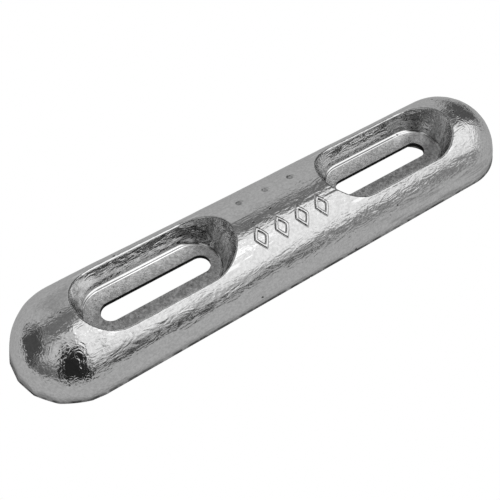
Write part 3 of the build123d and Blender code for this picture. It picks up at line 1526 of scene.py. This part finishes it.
@dataclass
class Studio:
    """A pale room with soft boxes and a few dark screens, over a white floor. A noise warps
    the edges of the panels by up to `warp` degrees."""

    wall_radiance: float = 0.47
    background: float = 1.0
    floor_glow: float = 0.47
    floor_half_side: float = 500.0
    floor_height: float = -0.2
    floor_shade: float = 0.12
    shade_edge: Span = (-3.0, 5.0)
    warp: float = 4.0
    warp_scale: float = 5.0
    warp_span: Span = (0.3, 0.7)
    panels: tuple[Panel, ...] = (
        Panel("overhead_left", -135, 76, 55, 16, 8, 0.62),
        Panel("overhead_right", 120, 75, 62, 22, 8, 0.18),
        Panel("far_grey", 94, 32, 12, 26, 9, 0.34),
        Panel("far_ridge", 36, 63, 24, 7, 5, 0.17),
        Panel("back_upper", 148, 52, 26, 8, 6, 0.16),
        Panel("soft_box", -45, 58, 45, 34, 8, 1.0),
        Panel("lamp", -54, 64, 11, 7, 4, 1.6),
        Panel("left_glow", -161, 43, 15, 14, 6, 0.62),
        Panel("side_screen", 22, 25, 22, 30, 8, 0.10),
        Panel("back_screen", 157, 15, 24, 26, 7, 0.075),
        Panel("left_step", -163, 4, 17, 16, 7, 0.14),
        Panel("low_strip", -86, 8, 21, 5, 4, 0.04),
        Panel("strip_end", -55, 9, 12, 6, 6, 0.22),
        Panel("tall_screen", -118, 27, 27, 31, 5, 0.022),
    )

    def build_panel_group(self) -> bpy.types.NodeTree:
        """Group that lays one panel over what is behind it: its mask is a soft window in
        azimuth times a soft window in elevation.

        Returns:
            The new group.
        """
        names = (
            "Azimuth", "Elevation", "Behind", "At Azimuth", "At Elevation",
            "Half Width", "Half Height", "Softness", "Radiance",
        )
        board, entry, radiance = open_group("studio_panel", dict.fromkeys(names, FLOAT), "Radiance")
        turn = board.math("SUBTRACT", entry["Azimuth"], entry["At Azimuth"])
        turn = board.math("WRAP", turn, 180.0, -180.0)
        rise = board.math("SUBTRACT", entry["Elevation"], entry["At Elevation"])
        windows = []
        for offset, half in ((turn, entry["Half Width"]), (rise, entry["Half Height"])):
            near = board.math("SUBTRACT", half, entry["Softness"])
            far = board.math("ADD", half, entry["Softness"])
            windows.append(board.rise(board.math("ABSOLUTE", offset), (far, near)))
        change = board.math("SUBTRACT", entry["Radiance"], entry["Behind"])
        board.feed(radiance, board.math("MULTIPLY_ADD", board.product(*windows), change, entry["Behind"]))
        return board.tree

    def glow(self, board: NodeBoard, kind: str, strength: object) -> Socket:
        """White glow of some strength for the metal, and plain white for the camera itself.

        Args:
            board: the nodes of the world or of a material.
            kind: Blender's name of the node type that glows.
            strength: how bright the metal sees it.

        Returns:
            The mixed shader.
        """
        shaders = [
            board.add(kind, {"Color": grey(1.0), "Strength": value}).outputs[0]
            for value in (strength, self.background)
        ]
        seen = board.add("ShaderNodeLightPath").outputs["Is Camera Ray"]
        return board.add("ShaderNodeMixShader", {0: seen, 1: shaders[0], 2: shaders[1]}).outputs[0]

    def build_world(self) -> None:
        """Room light: walls, then each panel over them."""
        world = bpy.data.worlds.new("studio")
        board = NodeBoard(cleared(world))
        direction = board.add("ShaderNodeTexCoord").outputs["Generated"]
        x, y, z = board.axes(direction)
        warp = board.add("ShaderNodeTexNoise", {
            "Vector": direction, "Scale": self.warp_scale, "Detail": 4.0, "Roughness": 0.6,
        })
        warps = board.add("ShaderNodeSeparateColor", {"Color": warp.outputs["Color"]}).outputs
        bearings = []
        for turn, value in zip((board.math("ARCTAN2", y, x), board.math("ARCSINE", z)), warps):
            warp = board.ramp(value, self.warp_span, -self.warp, self.warp)
            bearings.append(board.math("MULTIPLY_ADD", turn, math.degrees(1), warp))
        group = self.build_panel_group()
        radiance: object = self.wall_radiance
        for panel in self.panels:
            radiance = board.place(group, {
                "Azimuth": bearings[0],
                "Elevation": bearings[1],
                "Behind": radiance,
                "At Azimuth": panel.azimuth,
                "At Elevation": panel.elevation,
                "Half Width": panel.half_width,
                "Half Height": panel.half_height,
                "Softness": panel.softness,
                "Radiance": panel.radiance,
            }, label=panel.name)
        room = self.glow(board, "ShaderNodeBackground", radiance)
        board.add("ShaderNodeOutputWorld", {"Surface": room})
        bpy.context.scene.world = world

    def build_floor(self, bar: BarForm) -> None:
        """Flat white floor just under the object. It glows, so it stays white without a shadow. The metal
        sees it dimmer than the camera does, and dark under the bar, where a shadow is painted into its
        glow.

        Args:
            bar: the form whose footprint shades the floor.
        """
        side = self.floor_half_side
        points = np.array([[-side, -side, 0], [side, -side, 0], [side, side, 0], [-side, side, 0]])
        points[:, 2] = self.floor_height
        floor = make_piece("floor", points, np.array([[0, 1, 2, 3]]))
        material = bpy.data.materials.new("white_floor")
        skin = SkinBoard(cleared(material))
        footprint = skin.outside(Stadium(0.0, 0.0, bar.length, bar.width))
        # painted shadow: the floor's glow drops under the bar's footprint
        strength = skin.ramp(footprint, self.shade_edge, self.floor_shade, self.floor_glow)
        surface = self.glow(skin, "ShaderNodeEmission", strength)
        skin.add("ShaderNodeOutputMaterial", {"Surface": surface})
        floor.data.materials.append(material)

    def build(self, bar: BarForm) -> None:
        """World, floor and how light becomes picture values.

        Args:
            bar: the form whose footprint shades the floor.
        """
        self.build_world()
        self.build_floor(bar)
        bpy.context.scene.view_settings.view_transform = "Standard"


@dataclass(frozen=True)
class CameraStand:
    """Where the camera stands and looks. The turns are applied in the order azimuth,
    elevation, roll, and the offset is the frame's origin as the camera sees it: right, down
    and ahead, in millimetres."""

    azimuth: float = math.radians(-35.67)
    elevation: float = math.radians(54.60)
    roll: float = math.radians(2.03)
    offset: tuple[float, float, float] = (13.38, -7.685, 399.2)
    focal_pixels: float = 741.47
    picture_pixels: float = 500.0
    sensor: float = 36.0

    @staticmethod
    def turned(angle: float) -> np.ndarray:
        """Matrix of a turn by an angle about the third axis."""
        c, s = math.cos(angle), math.sin(angle)
        return np.array([[c, -s, 0], [s, c, 0], [0, 0, 1]])

    def axes(self) -> np.ndarray:
        """The camera's axes: from a level look along Y it is turned by the azimuth, tipped
        down by the elevation, and rolled.

        Returns:
            Matrix of shape (3, 3), whose rows are the camera's right, down and ahead, in the
            frame's axes.
        """
        c, s = math.cos(self.elevation), math.sin(self.elevation)
        tipped = np.array([[1, 0, 0], [0, -s, -c], [0, c, -s]])
        return self.turned(self.roll) @ tipped @ self.turned(-self.azimuth)

    def build(self) -> None:
        """Puts the camera in its place and makes it the scene's own."""
        right, down, ahead = self.axes()
        matrix = np.eye(4)
        matrix[:3, 0] = right
        matrix[:3, 1] = -down
        matrix[:3, 2] = -ahead
        matrix[:3, 3] = -(np.array(self.offset) @ self.axes()) * MM
        lens = bpy.data.cameras.new("camera")
        lens.sensor_width = self.sensor
        lens.lens = self.focal_pixels / self.picture_pixels * self.sensor
        camera = bpy.data.objects.new("camera", lens)
        camera.matrix_world = Matrix(matrix.tolist())
        bpy.context.scene.collection.objects.link(camera)
        bpy.context.scene.camera = camera


# ---------------------------------------------------------------- the whole anode


@dataclass
class HullAnode:
    """The anode: its casting, its raised marks and its strap, dressed in their finishes."""

    casting: ZincCasting
    marks: RaisedLozenges
    strap: bpy.types.Object

    @classmethod
    def from_frame(cls, frame: dict) -> HullAnode:
        """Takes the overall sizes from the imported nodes.


        Returns:
            The anode, ready to build.
        """
        low, high = (np.array(corner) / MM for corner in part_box(Node.STRAP.value))
        _, top = (np.array(corner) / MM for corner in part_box(Node.CASTING.value))
        bar = BarForm(height=float(top[2]))
        slot = SlotForm(strap_bottom=float(low[2]), strap_top=float(high[2]))
        casting = ZincCasting(
            bar=bar,
            pocket=PocketForm(slot=slot, crown=bar.height),
            recess=RecessForm(slot=slot),
            strap_half_length=float(high[0]),
            strap_half_width=float(high[1]),
        )
        marks = RaisedLozenges(bar=bar, ripple=casting.ripple)
        return cls(casting, marks, frame["nodes"][Node.STRAP.value])

    def build(self) -> None:
        """Builds the pieces, has them ride on the part's one body, and dresses them."""
        effects = Effects()
        zinc = CAST_ZINC.material(effects)
        steel = GALVANISED_STEEL.material(effects)
        for piece in (self.casting.build(), self.marks.build()):
            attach(piece, "root")
            piece.data.materials.append(zinc)
            report(piece)
            if piece.name == "zinc_casting":
                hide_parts(Node.CASTING.value)
        self.strap.data.materials.clear()
        self.strap.data.materials.append(steel)
        report(self.strap)


def report(piece: bpy.types.Object) -> None:
    """Logs a piece's name and how many triangles it has."""
    piece.data.calc_loop_triangles()
    LOG.info("%s: %d triangles", piece.name, len(piece.data.loop_triangles))


def main() -> None:
    """Loads the frame and builds studio, camera and anode in order."""
    logging.basicConfig(level=logging.INFO, format="%(name)s: %(message)s")
    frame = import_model()
    anode = HullAnode.from_frame(frame)
    Studio().build(anode.casting.bar)
    LOG.info("studio built")
    CameraStand().build()
    LOG.info("camera placed")
    anode.build()


if __name__ == "__main__":
    main()
